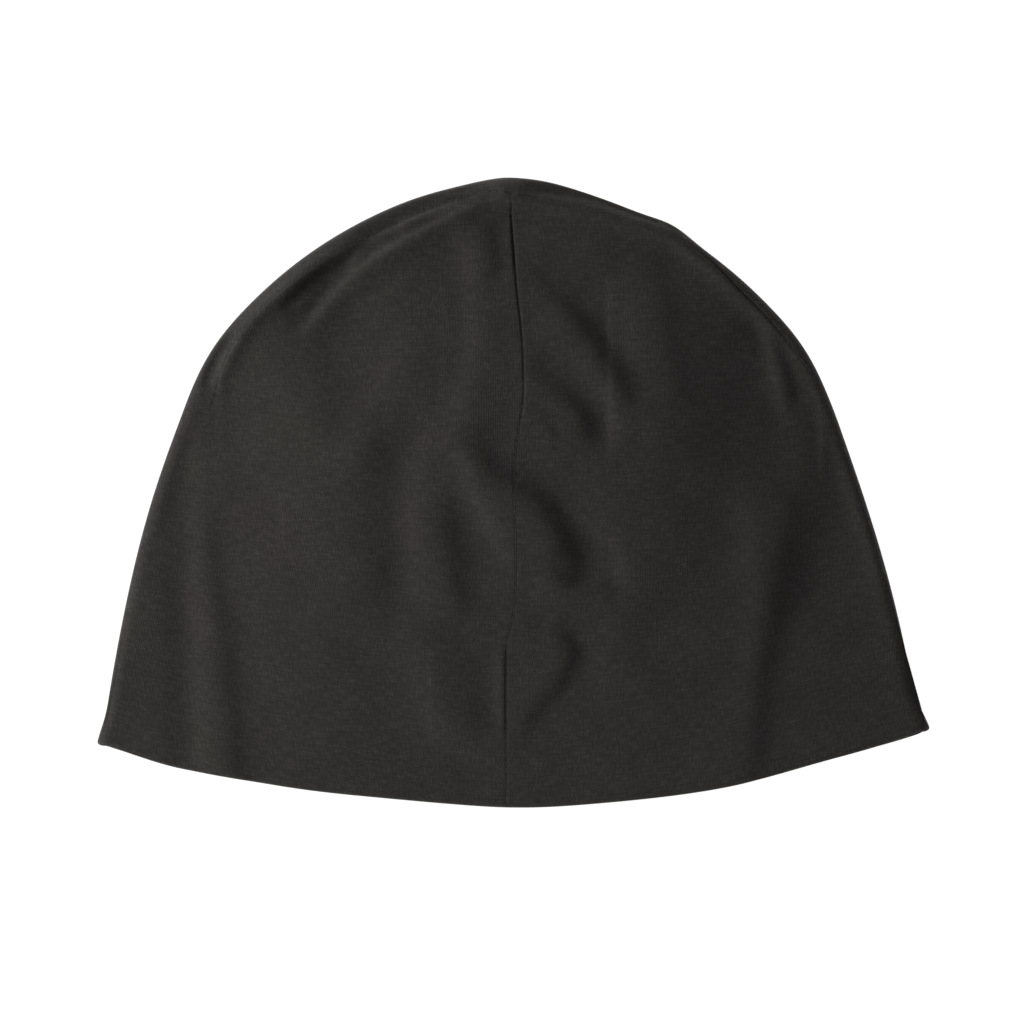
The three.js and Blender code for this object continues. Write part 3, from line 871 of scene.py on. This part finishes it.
def make_label(material):
    """The care label: satin tape with turned ends, at the CAD label's place and slope."""
    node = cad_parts["care_label"]
    corners = np.array([v.co for v in node.data.vertices], float) / MM
    low, high = corners.min(0), corners.max(0)
    west, east = corners[corners[:, 0] < low[0] + 1], corners[corners[:, 0] > high[0] - 1]
    south, north = corners[corners[:, 1] < low[1] + 1], corners[corners[:, 1] > high[1] - 1]
    slope_x = (east[:, 2].mean() - west[:, 2].mean()) / (east[:, 0].mean() - west[:, 0].mean())
    slope_y = (north[:, 2].mean() - south[:, 2].mean()) / (north[:, 1].mean() - south[:, 1].mean())
    centre = corners.mean(0)
    x = np.linspace(low[0] + LABEL_INSET, high[0] - LABEL_INSET, 49)
    y = np.linspace(low[1] + LABEL_INSET, high[1] - LABEL_INSET, 55)
    gx, gy = np.meshgrid(x, y)
    end = np.minimum(gy - low[1], high[1] - gy)
    turned = 1 - smoothstep(2.6, 3.1, end)
    edge = 0.12 * np.exp(-0.5 * ((gx - low[0] - 0.6) / 0.4) ** 2)
    wave = 0.06 * ripple(gx, gy, 14, 21)
    middle = centre[2] + slope_x * (gx - centre[0]) + slope_y * (gy - centre[1]) + wave
    ceiling = lining_height(gx.ravel(), gy.ravel()).reshape(gx.shape)
    ceiling = ceiling - LINING_THICKNESS - LABEL_ROOM
    middle = middle - LABEL_BLEND * np.log1p(np.exp((middle - ceiling) / LABEL_BLEND))
    half = LABEL_HALF + LABEL_TURNED * turned + edge * 0.3
    rows, columns = gx.shape
    upper = np.column_stack([gx.ravel(), gy.ravel(), (middle + half).ravel()])
    lower = np.column_stack([gx.ravel(), gy.ravel(), (middle - half).ravel()])
    faces = []
    total = rows * columns
    for r in range(rows - 1):
        for c in range(columns - 1):
            i = r * columns + c
            quad = [i, i + 1, i + 1 + columns, i + columns]
            faces.append(quad)
            faces.append([total + k for k in quad[::-1]])
    rim = [*range(columns), *[r * columns + columns - 1 for r in range(1, rows)],
           *[(rows - 1) * columns + c for c in range(columns - 2, -1, -1)],
           *[r * columns for r in range(rows - 2, 0, -1)]]
    for one, two in zip(rim, rim[1:] + rim[:1]):
        faces.append([one, total + one, total + two, two])
    places = np.vstack([np.column_stack([gx.ravel(), gy.ravel()])] * 2)
    obj = mesh_object("woven_label", np.vstack([upper, lower]), faces, places)
    finish_piece(obj, material, "label_tape", "label", "care_label")
    return low, high, slope_y, centre


def make_label_stitching(material, low, high, slope_y, centre):
    """The short bars that hold the label's edge in the seam."""
    pitch, length, radius = LABEL_STITCH
    node_low, node_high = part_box("label_stitching")
    x = (node_low.x + node_high.x) / 2 / MM
    y = np.arange(low[1] + 1.2, high[1] - 1, pitch)
    z = (node_low.z + node_high.z) / 2 / MM + slope_y * (y - centre[1])
    starts = np.column_stack([np.full_like(y, x), y, z])
    obj = thread_mesh("label_stitches", starts, starts + [0, length, slope_y * length], radius)
    return finish_piece(obj, material, "thread", "cap", "label_stitching")


def make_crown_tack(material):
    low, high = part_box("crown_tack")
    centre = (low + high) / 2 / MM
    reach = 0.5
    starts, ends = [], []
    for i in range(4):
        turn = math.pi * i / 4
        across_tack = np.array([math.cos(turn), math.sin(turn), 0]) * reach
        starts.append(np.array(centre) - across_tack)
        ends.append(np.array(centre) + across_tack)
    obj = thread_mesh("crown_tack_stitches", starts, ends, 0.13)
    return finish_piece(obj, material, "thread", "cap", "crown_tack")


def stitches(name, line, material, node, size=(STITCH_PITCH, STITCH_LENGTH, STITCH_RADIUS)):
    """A finished row of stitches along a line, with its pitch, length and radius."""
    row = stitch_row(name, line, *size)
    return finish_piece(row, material, "thread", "cap", node)


def make_wall_stitches(layer_name, depth, thread):
    """The stitches of one layer's back seam and side darts, sunk in the near wall."""
    back = SEAM_LINE[SEAM_LINE[:, 1] > -94]
    on_back = on_wall(back, depth - 0.15)
    stitches(f"{layer_name}_back_stitches", on_back, thread, f"{layer_name}_back_seam")
    for side, word in ((LEFT, "left"), (RIGHT, "right")):
        on_dart = on_wall(DART_LINES[side][2:], depth - 0.15)
        stitches(f"{layer_name}_{word}_dart_stitches", on_dart, thread, f"{layer_name}_{word}_dart_seam")


def make_front_dart_stitches(layer_name, thread):
    """The stitches of one layer's front dart, on the far wall."""
    low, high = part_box(f"{layer_name}_front_dart_seam")
    y = np.arange(low.y / MM, TOP - FOLD_RADIUS - 1, 1.0)
    x = np.full_like(y, (low.x + high.x) / 2 / MM)
    z = np.full_like(y, 0.2 if layer_name == "shell" else LINING_DEPTH + LINING_THICKNESS)
    line = np.column_stack([x, y, z])
    stitches(f"{layer_name}_front_dart_stitches", line, thread, f"{layer_name}_front_dart_seam")


def make_hem_stitches(hem, out, inward, thread):
    """The stitches inside the turned hem, all the way round the mouth."""
    line = hem + inward * (2 * HEM_RADIUS - 0.35) - out * (HEM_TURN + 0.35)
    line = np.vstack([line, line[:1]])
    stitches("hem_stitches", line, thread, "hem_seam", HEM_STITCH)


def make_cap():
    """Both layers of cloth, their stitches and the label."""
    jersey = knit_material("charcoal jersey", (0.0150, 0.0142, 0.0135), (0.0275, 0.0257, 0.0243),
                           (0.062, 0.059, 0.056), 0.74, 0.55, 0.22)
    lining_jersey = knit_material("lining jersey", (0.013, 0.0124, 0.012), (0.024, 0.0227, 0.0216),
                                  (0.05, 0.048, 0.046), 0.8, 0.6, 0.25)
    thread = thread_material()

    shell_cloth, ring = layer(0, NEAR_STEP, HEM_RADIUS, upper_height, True)
    hem, out, inward = turn_hem(shell_cloth, ring)
    shell = solid(shell_cloth.mesh_object("knit_shell"), SHELL_THICKNESS)
    finish_piece(shell, jersey, "shell_jersey", "cap", "shell")

    lining_back = LINING_START + HEM_RADIUS
    lining_cloth, _ = layer(LINING_DEPTH, LINING_STEP, lining_back, lining_height, False)
    lining = solid(lining_cloth.mesh_object("knit_lining"), LINING_THICKNESS)
    finish_piece(lining, lining_jersey, "lining_jersey", "cap", "lining")

    for layer_name, depth in (("shell", 0.1), ("lining", LINING_DEPTH + LINING_THICKNESS + 0.5)):
        make_wall_stitches(layer_name, depth, thread)
        make_front_dart_stitches(layer_name, thread)
    make_hem_stitches(hem, out, inward, thread)
    make_crown_tack(thread)
    low, high, slope_y, centre = make_label(label_material())
    make_label_stitching(thread, low, high, slope_y, centre)


def make_floor():
    """A wide pale disc whose rim curves up all round, so that low views end on it too."""
    points, faces = [(0, 0, -FLOOR_GAP)], []
    sides = 48
    for reach, rise in FLOOR_RIM:
        for i in range(sides):
            turn = math.tau * i / sides
            points.append((reach * math.cos(turn), reach * math.sin(turn), rise - FLOOR_GAP))
    for i in range(sides):
        j = (i + 1) % sides
        faces.append([0, 1 + i, 1 + j])
        for row in range(len(FLOOR_RIM) - 1):
            low, high = 1 + row * sides, 1 + (row + 1) * sides
            faces.append([low + i, high + i, high + j, low + j])
    floor = mesh_object("floor", points, faces)
    floor.data.materials.append(floor_material())


def make_lights():
    """A soft box low in the west, a weak one overhead and a dim white surround."""
    scene = bpy.context.scene
    world = bpy.data.worlds.new("studio")
    world.use_nodes = True
    background = world.node_tree.nodes["Background"]
    background.inputs[0].default_value = (1, 1, 1, 1)
    background.inputs[1].default_value = WORLD_LIGHT
    scene.world = world
    for name, place, size, energy in LIGHTS:
        light = bpy.data.lights.new(name, "AREA")
        light.shape = "SQUARE"
        light.size = size
        light.energy = energy
        lamp = bpy.data.objects.new(name, light)
        lamp.location = place
        lamp.rotation_euler = (-Vector(place)).to_track_quat("-Z", "Y").to_euler()
        scene.collection.objects.link(lamp)
    scene.view_settings.view_transform = "Standard"


def make_camera():
    """Straight above, far away with a long lens, as the cap is seen."""
    camera = bpy.data.cameras.new("camera")
    camera.lens = CAMERA_LENS
    camera.sensor_width = 36
    camera.clip_end = 20
    obj = bpy.data.objects.new("camera", camera)
    obj.location = CAMERA_PLACE
    bpy.context.scene.collection.objects.link(obj)
    bpy.context.scene.camera = obj


make_camera()
make_floor()
make_lights()
make_cap()
